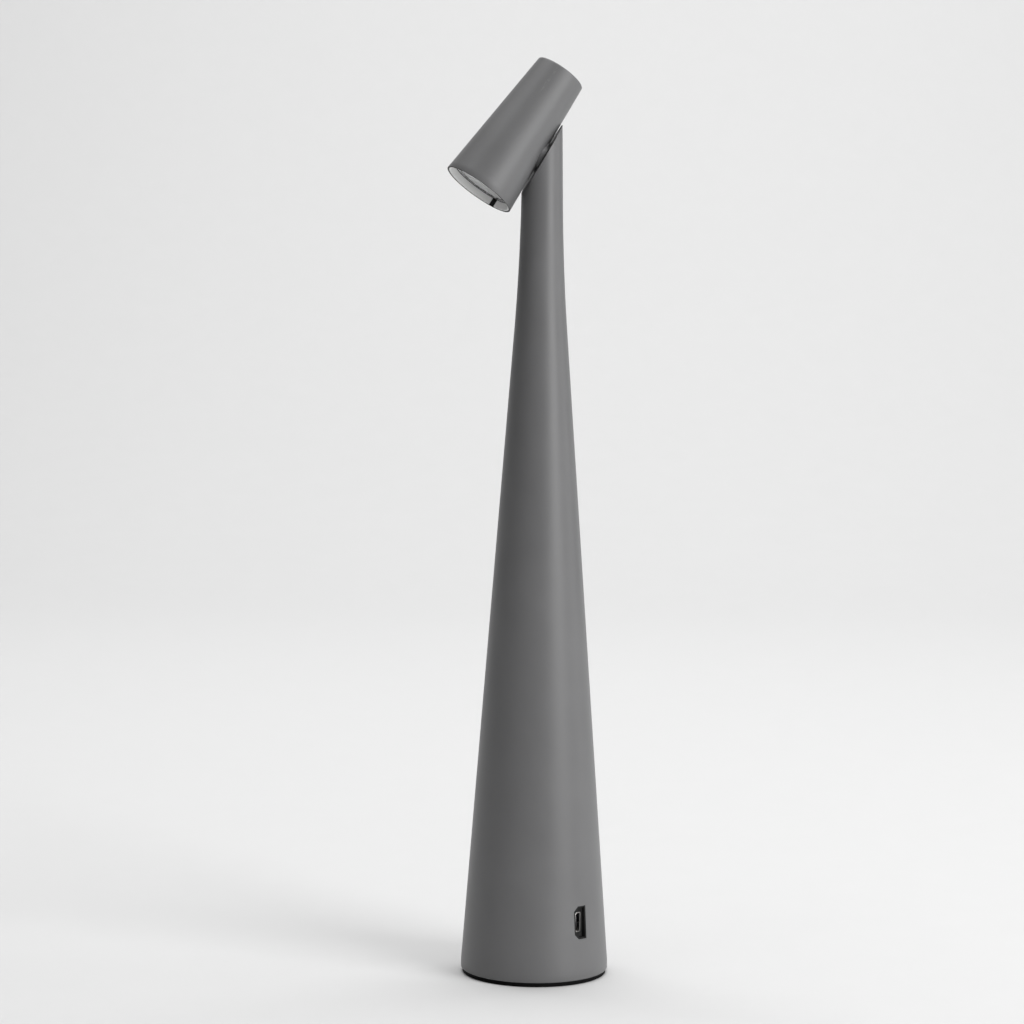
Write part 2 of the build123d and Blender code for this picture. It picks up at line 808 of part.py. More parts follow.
with BuildPart() as pivot_block:
    with BuildSketch(head_across.offset(pivot_block_front)):
        with Locations((block_face + block_bottom, 0)):
            Rectangle(2 * block_bottom, pivot_block_width)
    extrude(amount=-pivot_block_length)
    add(
        head_form(head_wall + fit_clearance, pivot_block_front - pivot_block_length, pivot_block_front),
        mode=Mode.INTERSECT,
    )
    with BuildSketch(swivel_face):
        Circle(neck_stud_radius + fit_clearance)
    extrude(amount=2 * head_radius, mode=Mode.SUBTRACT)
    with BuildSketch(*heat_screw_seats):
        Circle(board_screw_radius + fit_clearance)
    extrude(amount=-(heat_sink_thickness + board_screw_length), mode=Mode.SUBTRACT)
pivot_block.part.label = "pivot_block"
export_step(pivot_block.part, "parts/pivot_block.step")

# ---- swivel stud: round collar under the head, threaded neck above it, keyed shank below ----
collar_bottom = washer_thickness + running_clearance
washer_bottom = -stop_depth
spring_bottom = washer_bottom - spring_thickness - spring_cone
nut_bottom = spring_bottom - nut_thickness
stud_end = nut_bottom - stud_tail

swivel_section = Plane(origin=slant_centre, x_dir=head_run, z_dir=head_run.cross(swivel_normal))
key_height = stop_washer_thickness + running_clearance
stud_length = stud_reach - stud_end


def key_outline(grow):
    """Sketch of the stud's two-flat key, larger all round by grow."""
    with BuildSketch() as outline:
        Circle(shank_radius + grow)
        Rectangle(2 * (shank_flat + grow), 2 * (shank_radius + grow), mode=Mode.INTERSECT)
    return outline.sketch


with BuildPart() as swivel_stud:
    with BuildSketch(swivel_face.offset(collar_bottom)):
        Circle(collar_radius)
    extrude(amount=head_radius / 2)
    fillet(swivel_stud.edges().group_by(swivel_axis)[0], collar_edge_round)
    add(head_form(-fit_clearance, rear, front), mode=Mode.SUBTRACT)
    with BuildSketch(swivel_section):
        with BuildLine():
            Polyline(
                (0, stud_end),
                (stud_tip_radius, stud_end),
                (stud_tip_radius, washer_bottom),
                (shank_radius, washer_bottom),
                (shank_radius, collar_bottom + collar_edge_round),
                (neck_stud_radius, collar_bottom + collar_edge_round),
                (neck_stud_radius, stud_reach),
                (0, stud_reach),
                close=True,
            )
        make_face()
    revolve(axis=swivel_axis)
    with BuildSketch(swivel_face.offset(washer_bottom)):
        Circle(neck_stud_radius)
        add(key_outline(0), mode=Mode.SUBTRACT)
    extrude(amount=key_height, mode=Mode.SUBTRACT)
    with BuildSketch(swivel_face.offset(stud_end - stud_length)):
        Circle(stud_bore_radius)
    extrude(amount=3 * stud_length, mode=Mode.SUBTRACT)
swivel_stud.part.label = "swivel_stud"
export_step(swivel_stud.part, "parts/swivel_stud.step")

# ---- keyed stop washer, dished spring washer and lock nut on the stud's lower end ----
with BuildPart() as stop_washer:
    with BuildSketch(swivel_face.offset(washer_bottom)):
        Circle(stop_washer_radius)
        with Locations((stop_lug_reach / 2, 0)):
            Rectangle(stop_lug_reach, stop_lug_width)
        add(key_outline(fit_clearance), mode=Mode.SUBTRACT)
    extrude(amount=stop_washer_thickness)
stop_washer.part.label = "stop_washer"
export_step(stop_washer.part, "parts/stop_washer.step")

spring_bore = stud_tip_radius + fit_clearance

with BuildPart() as spring_washer:
    with BuildSketch(swivel_section):
        with BuildLine():
            Polyline(
                (spring_bore, spring_bottom),
                (spring_bore, spring_bottom + spring_thickness),
                (stop_washer_radius, washer_bottom),
                (stop_washer_radius, washer_bottom - spring_thickness),
                close=True,
            )
        make_face()
    revolve(axis=swivel_axis)
spring_washer.part.label = "spring_washer"
export_step(spring_washer.part, "parts/spring_washer.step")

with BuildPart() as lock_nut:
    with BuildSketch(swivel_face.offset(nut_bottom)):
        RegularPolygon(nut_corner_radius, 6)
        Circle(stud_tip_radius + fit_clearance, mode=Mode.SUBTRACT)
    extrude(amount=nut_thickness)
lock_nut.part.label = "lock_nut"
export_step(lock_nut.part, "parts/lock_nut.step")

# ---- heat sink: disc across the head with fins behind it, clear of the pivot block ----
fin_span = 2 * head_radius
fin_top = lead_corner - lead_hole_radius - fit_clearance
lead_hole_place = (lead_corner, 0)

with BuildPart() as heat_sink:
    with BuildSketch(head_across.offset(pivot_block_front)):
        Circle(head_radius)
    extrude(amount=heat_sink_thickness)
    with BuildSketch(head_across.offset(pivot_block_front)):
        with GridLocations(0, fin_pitch, 1, fin_count):
            with Locations((fin_top - fin_span / 2, 0)):
                Rectangle(fin_span, fin_thickness)
    extrude(amount=-fin_length)
    add(
        head_form(head_wall + loose_clearance, pivot_block_front - fin_length, sink_front),
        mode=Mode.INTERSECT,
    )
    with BuildSketch(head_across.offset(sink_front)):
        with Locations(lead_hole_place):
            Circle(lead_hole_radius)
        with Locations(*heat_screw_places):
            Circle(board_screw_radius + fit_clearance)
    extrude(amount=-heat_sink_thickness, mode=Mode.SUBTRACT)
    with BuildSketch(head_across.offset(sink_front)):
        with Locations(*led_screw_places):
            Circle(led_screw_radius + fit_clearance)
    extrude(amount=-led_screw_length, mode=Mode.SUBTRACT)
heat_sink.part.label = "heat_sink"
export_step(heat_sink.part, "parts/heat_sink.step")

with BuildPart() as heat_sink_screws:
    add(pan_screws(
        heat_screw_seats,
        board_screw_radius,
        board_screw_length,
        small_head_radius * 0.8,
        small_head_height * 0.8,
    ))
heat_sink_screws.part.label = "heat_sink_screws"
export_step(heat_sink_screws.part, "parts/heat_sink_screws.step")

# ---- light source on its round board ----
board_front = sink_front + led_board_thickness
chip_front = board_front + led_chip_thickness
led_screw_seats = [
    Plane(head_across.offset(board_front).from_local_coords(Vector(x, y, 0)), z_dir=head_axis_dir)
    for x, y in led_screw_places
]

with BuildPart() as led_board:
    with BuildSketch(head_across.offset(sink_front)):
        Circle(led_board_radius)
        with Locations(lead_hole_place):
            Circle(lead_hole_radius, mode=Mode.SUBTRACT)
        with Locations(*led_screw_places):
            Circle(led_screw_radius + fit_clearance, mode=Mode.SUBTRACT)
    extrude(amount=led_board_thickness)
led_board.part.label = "led_board"
export_step(led_board.part, "parts/led_board.step")

with BuildPart() as led_screws:
    add(pan_screws(
        led_screw_seats,
        led_screw_radius,
        led_screw_length,
        led_screw_head_radius,
        led_screw_head_height,
    ))
led_screws.part.label = "led_screws"
export_step(led_screws.part, "parts/led_screws.step")

with BuildPart() as led_chip:
    with BuildSketch(head_across.offset(board_front)):
        Circle(led_chip_radius)
    extrude(amount=led_chip_thickness)
    fillet(led_chip.edges().group_by(head_axis)[-1], led_chip_thickness * 0.35)
led_chip.part.label = "led_chip"
export_step(led_chip.part, "parts/led_chip.step")

# ---- reflector, gasket, lens and the split ring that holds them ----
reflector_back = chip_front + reflector_gap
lens_back = seat + gasket_thickness
lens_front = lens_back + lens_thickness
flange_outer = head_radius_at(seat - reflector_wall) - head_wall - loose_clearance / 2
mouth_height = lens_back - reflector_wall

with BuildPart() as reflector:
    with BuildSketch(head_section):
        with BuildLine():
            ThreePointArc(
                (reflector_throat, reflector_back),
                (
                    (reflector_throat + reflector_mouth) / 2 + reflector_bulge * 0.8,
                    (reflector_back + mouth_height) / 2 - reflector_bulge * 0.6,
                ),
                (reflector_mouth, mouth_height),
            )
            Polyline(
                (reflector_mouth, mouth_height),
                (reflector_mouth, lens_back),
                (flange_outer, lens_back),
                (flange_outer, mouth_height),
                (reflector_mouth + reflector_wall, mouth_height),
            )
            ThreePointArc(
                (reflector_mouth + reflector_wall, mouth_height),
                (
                    (reflector_throat + reflector_mouth) / 2 + reflector_bulge * 0.8 + reflector_wall,
                    (reflector_back + mouth_height) / 2 - reflector_bulge * 0.6,
                ),
                (reflector_throat + reflector_wall, reflector_back),
            )
            Line(
                (reflector_throat + reflector_wall, reflector_back),
                (reflector_throat, reflector_back),
            )
        make_face()
    revolve(axis=head_axis)
reflector.part.label = "reflector"
export_step(reflector.part, "parts/reflector.step")

gasket_outer = head_radius_at(seat) - lip_wall - fit_clearance

with BuildPart() as lens_gasket:
    with BuildSketch(head_across.offset(seat)):
        Circle(gasket_outer)
        Circle(gasket_outer - gasket_width, mode=Mode.SUBTRACT)
    extrude(amount=gasket_thickness)
lens_gasket.part.label = "lens_gasket"
export_step(lens_gasket.part, "parts/lens_gasket.step")

with BuildPart() as lens:
    with BuildSketch(head_across.offset(lens_back)):
        Circle(gasket_outer)
    extrude(amount=lens_thickness)
    with BuildSketch(head_across.offset(lens_front)):
        Circle(lens_face_radius)
    extrude(amount=-lens_face_recess, mode=Mode.SUBTRACT)
lens.part.label = "lens"
export_step(lens.part, "parts/lens.step")

gap_angle = radians(trim_ring_gap_angle)
gap_middle = (head_radius * cos(gap_angle), head_radius * sin(gap_angle))
trim_front = lens_front + trim_ring_height

with BuildPart() as trim_ring:
    add(head_form(lip_wall + fit_clearance, lens_front, trim_front))
    add(
        head_form(lip_wall + fit_clearance + trim_ring_wall, lens_front, trim_front),
        mode=Mode.SUBTRACT,
    )
    with BuildSketch(head_across.offset(lens_front)):
        with Locations(Location(gap_middle, trim_ring_gap_angle)):
            Rectangle(head_radius, trim_ring_gap)
    extrude(amount=trim_ring_height, mode=Mode.SUBTRACT)
trim_ring.part.label = "trim_ring"
export_step(trim_ring.part, "parts/trim_ring.step")

# ---- lead from the stud's lower end, through its bore, to the light source ----
axis_climb = (head_radius - lead_corner) * head_slope
bore_start = slant_centre + swivel_normal * stud_end

with BuildPart() as head_lead:
    add(lead(
        [
            bore_start,
            head_across.from_local_coords(Vector(lead_corner, 0, axis_climb)),
            head_across.from_local_coords(Vector(lead_corner, 0, board_front)),
        ],
        lead_bend,
    ))
head_lead.part.label = "head_lead"
export_step(head_lead.part, "parts/head_lead.step")
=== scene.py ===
import json
from math import cos, pi, radians, sin, sqrt, tan

import bmesh
import bpy
from mathutils import Matrix, Vector


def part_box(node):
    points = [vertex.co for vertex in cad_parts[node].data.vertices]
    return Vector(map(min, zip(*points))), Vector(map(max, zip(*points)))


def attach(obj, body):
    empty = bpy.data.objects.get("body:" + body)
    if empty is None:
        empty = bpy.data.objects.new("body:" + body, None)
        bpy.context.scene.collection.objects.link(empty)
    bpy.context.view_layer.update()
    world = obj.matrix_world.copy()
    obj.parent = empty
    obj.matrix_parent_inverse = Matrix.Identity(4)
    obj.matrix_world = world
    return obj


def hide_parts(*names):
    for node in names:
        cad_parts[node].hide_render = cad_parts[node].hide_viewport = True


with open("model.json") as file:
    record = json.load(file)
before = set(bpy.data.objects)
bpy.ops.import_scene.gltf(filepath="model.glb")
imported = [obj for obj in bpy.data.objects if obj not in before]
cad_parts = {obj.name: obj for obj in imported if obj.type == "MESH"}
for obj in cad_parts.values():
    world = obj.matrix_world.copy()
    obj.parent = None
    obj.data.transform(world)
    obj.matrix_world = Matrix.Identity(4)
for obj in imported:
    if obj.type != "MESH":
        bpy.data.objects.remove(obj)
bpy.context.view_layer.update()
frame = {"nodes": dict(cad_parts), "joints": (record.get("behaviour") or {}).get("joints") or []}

scene = bpy.context.scene
swivel = frame["joints"][0]


# ---------------------------------------------------------------------------
# Column shell: one thin cone of aluminium, spun and drawn in to a slim neck,
# its top sawn off on a slant. Sprayed with a fine satin grey powder coat.
# ---------------------------------------------------------------------------
shell_low, shell_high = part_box("column_shell")
skirt_radius = shell_high.x
skirt_height = 0.0032
skirt_bottom = shell_low.z
shoulder_radius = 0.00833
neck_radius = 0.00766
neck_length = 0.0419
shoulder_round = 0.816
shell_wall = 0.0015
bottom_round = 0.0005
mouth_round = 0.00022
slant_centre = Vector(swivel["pos_m"])
slant_normal = Vector(swivel["axis"]).normalized()
slant_rise = -slant_normal.x / slant_normal.z
shoulder_height = slant_centre.z - neck_length
skirt_top = skirt_bottom + skirt_height
cone_slope = (skirt_radius - shoulder_radius) / (shoulder_height - skirt_top)
neck_slope = (shoulder_radius - neck_radius) / neck_length
shoulder_reach = shoulder_round * (cone_slope - neck_slope) / 2


def column_radius(height):
    """Outer radius of the column: upright skirt, straight cone, soft shoulder, slim neck."""
    start = shoulder_height - shoulder_reach
    if height < skirt_top:
        return skirt_radius
    if height < start:
        return skirt_radius - (height - skirt_top) * cone_slope
    if height < shoulder_height + shoulder_reach:
        cone = skirt_radius - (height - skirt_top) * cone_slope
        return cone + (height - start) ** 2 / (2 * shoulder_round)
    return neck_radius + (slant_centre.z - height) * neck_slope


def slant_cut(angle, inset):
    """Radius and height at which the slanted top meets the column's wall on one side."""
    height = slant_centre.z
    for _ in range(12):
        radius = column_radius(height) - inset
        height = slant_centre.z + radius * cos(angle) * slant_rise
    return radius, height


def arc_points(centre_r, centre_h, radius, start, end, steps):
    """Points of a round edge in a section, from one angle to another in degrees."""
    points = []
    for step in range(steps + 1):
        angle = radians(start + (end - start) * step / steps)
        points.append((centre_r + radius * cos(angle), centre_h + radius * sin(angle)))
    return points


def column_section(angle, rows):
    """Closed section of the shell on one side: foot edge, outer wall, slanted mouth, inner wall."""
    edge_radius = skirt_radius - bottom_round
    outer = arc_points(edge_radius, skirt_bottom + bottom_round, bottom_round, -90, 0, 4)
    mouth_radius, mouth_height = slant_cut(angle, 0)
    outer_top = mouth_height - mouth_round
    levels = [skirt_top + (outer_top - skirt_top) * row / rows for row in range(rows + 1)]
    outer += [(column_radius(level), level) for level in levels]
    middle_radius = mouth_radius - mouth_round * 0.3
    outer.append((middle_radius, mouth_height - mouth_round * 0.3))
    for inset in (mouth_round, shell_wall):
        outer.append(slant_cut(angle, inset))
    inner_top = outer[-1][1]
    inner_rows = rows // 2
    for row in range(1, inner_rows + 1):
        level = inner_top + (skirt_bottom - inner_top) * row / inner_rows
        outer.append((column_radius(level) - shell_wall, level))
    return outer


def mesh_from(name, points, faces, smooth_angle=35.0):
    """Object from points and faces, smooth shaded except at edges sharper than an angle."""
    mesh = bpy.data.meshes.new(name)
    mesh.from_pydata(points, [], faces)
    mesh.validate()
    mesh.polygons.foreach_set("use_smooth", [True] * len(mesh.polygons))
    mesh.set_sharp_from_angle(angle=radians(smooth_angle))
    made = bpy.data.objects.new(name, mesh)
    scene.collection.objects.link(made)
    return made


def ring_faces(count, length, closed_section=True):
    """Quads between neighbouring sections round a full turn."""
    faces = []
    last = length if closed_section else length - 1
    for side in range(count):
        here = side * length
        there = (side + 1) % count * length
        for row in range(last):
            following = (row + 1) % length
            faces.append((here + row, there + row, there + following, here + following))
    return faces


def settle(body, modifier):
    """Puts a modifier's result into its object's mesh, takes the modifier off, gives the mesh."""
    bpy.context.view_layer.update()
    graph = bpy.context.evaluated_depsgraph_get()
    settled = bpy.data.meshes.new_from_object(body.evaluated_get(graph))
    body.modifiers.remove(modifier)
    body.data = settled
    return settled


def cut_away(body, cutter):
    """Cuts one closed mesh out of another and throws the cutter away."""
    cut = body.modifiers.new("cut", "BOOLEAN")
    cut.operation = "DIFFERENCE"
    cut.solver = "EXACT"
    cut.object = cutter
    settle(body, cut).set_sharp_from_angle(angle=radians(35))
    bpy.data.objects.remove(cutter)


def prism(name, outline, plane, low, high):
    """Closed prism of an outline in a plane, from one distance to another along its normal."""
    count = len(outline)
    points = [plane @ Vector((x, y, level)) for level in (low, high) for x, y in outline]
    faces = [tuple(reversed(range(count))), tuple(range(count, 2 * count))]
    for side in range(count):
        following = (side + 1) % count
        faces.append((side, following, count + following, count + side))
    return mesh_from(name, points, faces)


# the port's plane looks out of the column, with x to the right and y up
port_low, port_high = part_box("usb_socket")
port_middle = (port_low + port_high) / 2
port_angle = radians(-57)
port_out = Vector((cos(port_angle), sin(port_angle), 0))
port_side = Vector((-sin(port_angle), cos(port_angle), 0))
port_plane = Matrix.Translation((0, 0, port_middle.z)) @ Matrix(
    (
        (port_side.x, 0, port_out.x, 0),
        (port_side.y, 0, port_out.y, 0),
        (0, 1, 0, 0),
        (0, 0, 0, 1),
    )
)
port_half_width = 0.0029
port_half_length = 0.00625
port_corner = 0.0019


def port_outline(grow):
    """The port's tall slot with its two left corners cut, anticlockwise from the lower right."""
    wide = port_half_width + grow
    tall = port_half_length + grow
    cut = port_corner + grow * tan(radians(22.5))
    return [
        (wide, -tall),
        (wide, tall),
        (-wide + cut, tall),
        (-wide, tall - cut),
        (-wide, -tall + cut),
        (-wide + cut, -tall),
    ]


shell_sides = 224
shell_rows = 96
section_length = len(column_section(0, shell_rows))
shell_points = []
for side in range(shell_sides):
    side_angle = 2 * pi * side / shell_sides
    for radius, height in column_section(side_angle, shell_rows):
        shell_points.append((radius * cos(side_angle), radius * sin(side_angle), height))
column_skin = mesh_from("column_skin", shell_points, ring_faces(shell_sides, section_length))
cut_from = skirt_radius * 0.6
cut_to = skirt_radius * 1.2
port_cutter = prism("port_cutter", port_outline(0), port_plane, cut_from, cut_to)
cut_away(column_skin, port_cutter)


def link(tree, source, target):
    """Joins two sockets of a node tree."""
    tree.links.new(source, target)


def new_group(name, inputs, outputs):
    """Empty shader group with named inputs (name, type, default) and named outputs (name, type)."""
    group = bpy.data.node_groups.new(name, "ShaderNodeTree")
    for label, kind, default in inputs:
        made = group.interface.new_socket(name=label, in_out="INPUT", socket_type=kind)
        if default is not None:
            made.default_value = default
    for label, kind in outputs:
        group.interface.new_socket(name=label, in_out="OUTPUT", socket_type=kind)
    return group, group.nodes.new("NodeGroupInput"), group.nodes.new("NodeGroupOutput")


def fine_grain_group():
    """Orange-peel of a sprayed or moulded skin: a height for bump, a tint and a roughness mask."""
    group, given, out = new_group(
        "fine_grain",
        [
            ("Scale", "NodeSocketFloat", 2600.0),
            ("Cloud Scale", "NodeSocketFloat", 45.0),
            ("Dark", "NodeSocketColor", None),
            ("Light", "NodeSocketColor", None),
            ("Rough Low", "NodeSocketFloat", 0.4),
            ("Rough High", "NodeSocketFloat", 0.5),
        ],
        [
            ("Color", "NodeSocketColor"),
            ("Roughness", "NodeSocketFloat"),
            ("Height", "NodeSocketFloat"),
        ],
    )
    nodes = group.nodes
    place = nodes.new("ShaderNodeTexCoord")
    grain = nodes.new("ShaderNodeTexNoise")
    grain.inputs["Detail"].default_value = 3.0
    peel = nodes.new("ShaderNodeTexVoronoi")
    peel.feature = "SMOOTH_F1"
    clouds = nodes.new("ShaderNodeTexNoise")
    clouds.inputs["Detail"].default_value = 4.0
    tint = nodes.new("ShaderNodeMix")
    tint.data_type = "RGBA"
    rough = nodes.new("ShaderNodeMapRange")
    height = nodes.new("ShaderNodeMath")
    height.operation = "MULTIPLY_ADD"
    height.inputs[1].default_value = 0.6
    mixer = nodes.new("ShaderNodeMath")
    mixer.operation = "MULTIPLY_ADD"
    mixer.inputs[1].default_value = 0.35
    for texture, scale in ((grain, "Scale"), (peel, "Scale"), (clouds, "Cloud Scale")):
        link(group, place.outputs["Object"], texture.inputs["Vector"])
        link(group, given.outputs[scale], texture.inputs["Scale"])
    link(group, grain.outputs["Fac"], mixer.inputs[0])
    link(group, clouds.outputs["Fac"], mixer.inputs[2])
    link(group, mixer.outputs[0], tint.inputs["Factor"])
    link(group, given.outputs["Dark"], tint.inputs["A"])
    link(group, given.outputs["Light"], tint.inputs["B"])
    link(group, clouds.outputs["Fac"], rough.inputs["Value"])
    rough.inputs["From Min"].default_value = 0.3
    rough.inputs["From Max"].default_value = 0.7
    link(group, given.outputs["Rough Low"], rough.inputs["To Min"])
    link(group, given.outputs["Rough High"], rough.inputs["To Max"])
    link(group, peel.outputs["Distance"], height.inputs[0])
    link(group, grain.outputs["Fac"], height.inputs[2])
    link(group, tint.outputs["Result"], out.inputs["Color"])
    link(group, rough.outputs["Result"], out.inputs["Roughness"])
    link(group, height.outputs[0], out.inputs["Height"])
    return group


def edge_rub_group():
    """Where hands and tables rub a skin: its sharp edges, in broken patches."""
    group, given, out = new_group(
        "edge_rub",
        [
            ("Base", "NodeSocketColor", None),
            ("Rubbed", "NodeSocketColor", None),
            ("Amount", "NodeSocketFloat", 0.5),
            ("Break Up", "NodeSocketFloat", 900.0),
        ],
        [("Color", "NodeSocketColor"), ("Mask", "NodeSocketFloat")],
    )
    nodes = group.nodes
    place = nodes.new("ShaderNodeTexCoord")
    geometry = nodes.new("ShaderNodeNewGeometry")
    breaks = nodes.new("ShaderNodeTexNoise")
    breaks.inputs["Detail"].default_value = 5.0
    edge = nodes.new("ShaderNodeMapRange")
    edge.inputs["From Min"].default_value = 0.53
    edge.inputs["From Max"].default_value = 0.62
    patch = nodes.new("ShaderNodeMapRange")
    patch.inputs["From Min"].default_value = 0.42
    patch.inputs["From Max"].default_value = 0.6
    both = nodes.new("ShaderNodeMath")
    both.operation = "MULTIPLY"
    strength = nodes.new("ShaderNodeMath")
    strength.operation = "MULTIPLY"
    tint = nodes.new("ShaderNodeMix")
    tint.data_type = "RGBA"
    link(group, place.outputs["Object"], breaks.inputs["Vector"])
    link(group, given.outputs["Break Up"], breaks.inputs["Scale"])
    link(group, geometry.outputs["Pointiness"], edge.inputs["Value"])
    link(group, breaks.outputs["Fac"], patch.inputs["Value"])
    link(group, edge.outputs["Result"], both.inputs[0])
    link(group, patch.outputs["Result"], both.inputs[1])
    link(group, both.outputs[0], strength.inputs[0])
    link(group, given.outputs["Amount"], strength.inputs[1])
    link(group, strength.outputs[0], tint.inputs["Factor"])
    link(group, given.outputs["Base"], tint.inputs["A"])
    link(group, given.outputs["Rubbed"], tint.inputs["B"])
    link(group, tint.outputs["Result"], out.inputs["Color"])
    link(group, strength.outputs[0], out.inputs["Mask"])
    return group


fine_grain = fine_grain_group()
edge_rub = edge_rub_group()


def place_group(tree, group, values):
    """Node for a shader group in a material, with its inputs set."""
    node = tree.nodes.new("ShaderNodeGroup")
    node.node_tree = group
    for label, value in values.items():
        node.inputs[label].default_value = value
    return node


def finish_material(name, dark, light, rough, metallic=0.0, grain=2600.0, bump=0.00001, **extra):
    """Finish with grain, colour drift and rubbed edges. Extra sets the shader's own sockets."""
    material = bpy.data.materials.new(name)
    material.use_nodes = True
    tree = material.node_tree
    shader = tree.nodes["Principled BSDF"]
    rubbed = extra.pop("rubbed", [min(1.0, value * 1.5) for value in light])
    amount = extra.pop("rub_amount", 0.35)
    skin = place_group(
        tree,
        fine_grain,
        {
            "Scale": grain,
            "Dark": (*dark, 1),
            "Light": (*light, 1),
            "Rough Low": rough[0],
            "Rough High": rough[1],
        },
    )
    edges = place_group(tree, edge_rub, {"Rubbed": (*rubbed, 1), "Amount": amount})
    relief = tree.nodes.new("ShaderNodeBump")
    relief.inputs["Distance"].default_value = bump
    relief.inputs["Strength"].default_value = 1.0
    link(tree, skin.outputs["Color"], edges.inputs["Base"])
    link(tree, edges.outputs["Color"], shader.inputs["Base Color"])
    link(tree, skin.outputs["Roughness"], shader.inputs["Roughness"])
    link(tree, skin.outputs["Height"], relief.inputs["Height"])
    link(tree, relief.outputs["Normal"], shader.inputs["Normal"])
    shader.inputs["Metallic"].default_value = metallic
    for label, value in extra.items():
        shader.inputs[label.replace("_", " ").title().replace("Ior", "IOR")].default_value = value
    return material


def dress(piece, material):
    """Gives a piece one material, in place of any that it has."""
    piece.data.materials.clear()
    piece.data.materials.append(material)


def dress_cad(material, *nodes):
    """Puts a material on CAD nodes that are shown as they are."""
    for node in nodes:
        owner = frame["nodes"][node]
        for index in range(len(owner.material_slots)):
            owner.material_slots[index].material = material


grey_coat = finish_material(
    "grey_powder_coat", (0.118, 0.118, 0.12), (0.15, 0.15, 0.152), (0.4, 0.46), bump=0.000006,
    rubbed=(0.22, 0.22, 0.22),
)
dress(column_skin, grey_coat)
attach(column_skin, "column")
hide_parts("column_shell")
dress_cad(grey_coat, "slant_plate")


# ---------------------------------------------------------------------------
# Foot: a moulded rubber disc stuck under the lamp. It stands in a little from
# the shell, so it shows only as a thin black line above the table.
# ---------------------------------------------------------------------------
foot_rubber = finish_material(
    "foot_rubber", (0.0016, 0.0016, 0.0016), (0.0035, 0.0035, 0.0035), (0.7, 0.85),
    grain=1400.0, bump=0.00003, rub_amount=0.05, specular_ior_level=0.12,
)
dress_cad(foot_rubber, "foot_pad")


# ---------------------------------------------------------------------------
# Base: a pressed and zinc plated steel plate under a sand cast iron weight,
# held up into the shell by three countersunk screws.
# ---------------------------------------------------------------------------
def turned_material(name, dark, light, rough, pitch=9000.0):
    """Bare metal with the fine rings that a lathe or press leaves round the lamp's axis."""
    material = finish_material(name, dark, light, rough, metallic=1.0, bump=0.000003)
    tree = material.node_tree
    place = tree.nodes.new("ShaderNodeTexCoord")
    rings = tree.nodes.new("ShaderNodeTexWave")
    rings.wave_type = "RINGS"
    rings.rings_direction = "Z"
    rings.inputs["Scale"].default_value = pitch / 20
    rings.inputs["Distortion"].default_value = 0.6
    rings.inputs["Detail"].default_value = 3.0
    relief = tree.nodes.new("ShaderNodeBump")
    relief.inputs["Distance"].default_value = 0.000004
    relief.inputs["Strength"].default_value = 0.8
    shader = tree.nodes["Principled BSDF"]
    skin_bump = shader.inputs["Normal"].links[0].from_socket
    link(tree, place.outputs["Object"], rings.inputs["Vector"])
    link(tree, rings.outputs["Fac"], relief.inputs["Height"])
    link(tree, skin_bump, relief.inputs["Normal"])
    link(tree, relief.outputs["Normal"], shader.inputs["Normal"])
    return material


plate_steel = turned_material("plate_steel", (0.42, 0.42, 0.4), (0.58, 0.57, 0.52), (0.28, 0.42))
cast_weight = finish_material(
    "cast_weight", (0.03, 0.03, 0.032), (0.075, 0.073, 0.07), (0.55, 0.75), metallic=0.6,
    grain=900.0, bump=0.00012, rubbed=(0.3, 0.29, 0.28), rub_amount=0.6,
)
hardware_steel = finish_material(
    "hardware_steel", (0.4, 0.4, 0.41), (0.6, 0.6, 0.6), (0.22, 0.36), metallic=1.0,
    grain=5200.0, bump=0.000004,
)
dress_cad(plate_steel, "base_plate")
dress_cad(cast_weight, "base_weight")
dress_cad(hardware_steel, "base_screws", "cradle_screws", "board_screws")


# ---------------------------------------------------------------------------
# Battery: a round cell in a shrunk plastic sleeve, stood in a moulded cradle
# between two pressed brass contacts, with one contact lead up its side.
# ---------------------------------------------------------------------------
black_plastic = finish_material(
    "black_plastic", (0.008, 0.008, 0.008), (0.016, 0.016, 0.016), (0.4, 0.52),
    grain=3400.0, bump=0.000012, rubbed=(0.06, 0.06, 0.06),
)
battery_sleeve = finish_material(
    "battery_sleeve", (0.035, 0.12, 0.24), (0.055, 0.17, 0.32), (0.22, 0.34),
    grain=700.0, bump=0.00002, coat_weight=0.3, coat_roughness=0.18,
)
contact_brass = turned_material("contact_brass", (0.6, 0.4, 0.16), (0.78, 0.56, 0.25), (0.2, 0.34))
dress_cad(black_plastic, "battery_cradle")
dress_cad(battery_sleeve, "battery_cell")
dress_cad(contact_brass, "lower_contact", "upper_contact", "touch_strip")


